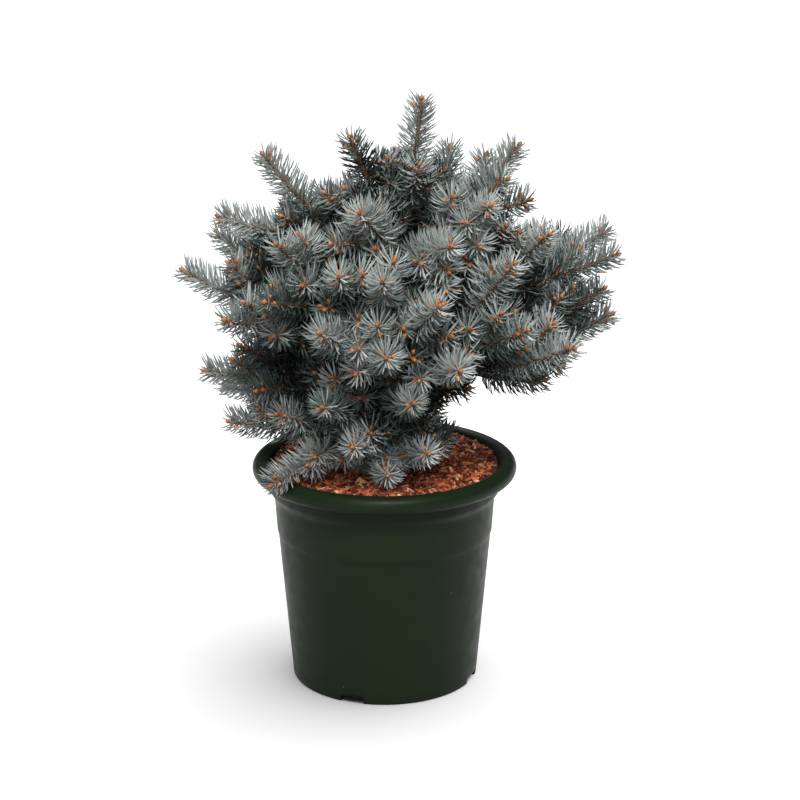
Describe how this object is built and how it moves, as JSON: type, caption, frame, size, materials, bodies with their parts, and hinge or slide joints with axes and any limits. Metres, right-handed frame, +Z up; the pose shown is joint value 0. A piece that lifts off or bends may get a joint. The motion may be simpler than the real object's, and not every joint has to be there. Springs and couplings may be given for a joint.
{
  "type": "potted blue spruce",
  "caption": "Dwarf blue spruce with a round, open crown of bristly shoots, growing in a tapered nursery pot that is filled with bark mulch.",
  "frame": {"origin": "middle of the pot's flat underside, which stands on the ground", "axes": "+Z up along the pot's axis and the trunk; -Y is the front, with the skirt of shoots in front of the trunk; +X is to the right"},
  "size_m": [0.4659, 0.4222, 0.6309],
  "materials": {
    "pot_plastic": "dark green polypropylene, satin",
    "bark_mulch": "red-brown shredded bark and coir, rough",
    "bark": "brown twig bark, rough",
    "needles": "silver-blue waxy needles, matt"
  },
  "bodies": {
    "root": {"pot": "pot_plastic", "mulch": "bark_mulch", "trunk": "bark", "bough_back_left": "bark", "bough_front": "bark", "bough_front_left": "bark", "bough_left": "bark", "bough_right_front": "bark", "bough_right_high": "bark", "bough_right_low": "bark", "bough_upper_back": "bark", "bough_upper_front": "bark", "bough_upper_left": "bark", "bough_upper_right": "bark", "needles_back": "needles", "needles_back_high_left": "needles", "needles_back_high_right": "needles", "needles_back_left": "needles", "needles_back_left_low": "needles", "needles_back_low": "needles", "needles_back_low_left": "needles", "needles_back_right": "needles", "needles_back_top": "needles", "needles_back_top_left": "needles", "needles_back_top_right": "needles", "needles_front_centre": "needles", "needles_front_high": "needles", "needles_front_left_high": "needles", "needles_front_low": "needles", "needles_front_low_left": "needles", "needles_front_low_right": "needles", "needles_front_middle": "needles", "needles_front_middle_left": "needles", "needles_front_middle_right": "needles", "needles_front_upper_left": "needles", "needles_front_upper_right": "needles", "needles_left": "needles", "needles_left_front": "needles", "needles_left_front_high": "needles", "needles_left_high": "needles", "needles_left_low": "needles", "needles_left_low_front": "needles", "needles_left_shoulder": "needles", "needles_right": "needles", "needles_right_front": "needles", "needles_right_front_high": "needles", "needles_right_high": "needles", "needles_right_high_back": "needles", "needles_right_high_front": "needles", "needles_right_low": "needles", "needles_right_low_front": "needles", "needles_right_shoulder": "needles", "needles_right_underside": "needles", "needles_skirt_front": "needles", "needles_skirt_front_left": "needles", "needles_skirt_front_right": "needles", "needles_skirt_left": "needles", "needles_skirt_over_rim": "needles", "needles_top": "needles", "needles_top_left": "needles"}
  },
  "joints": []
}
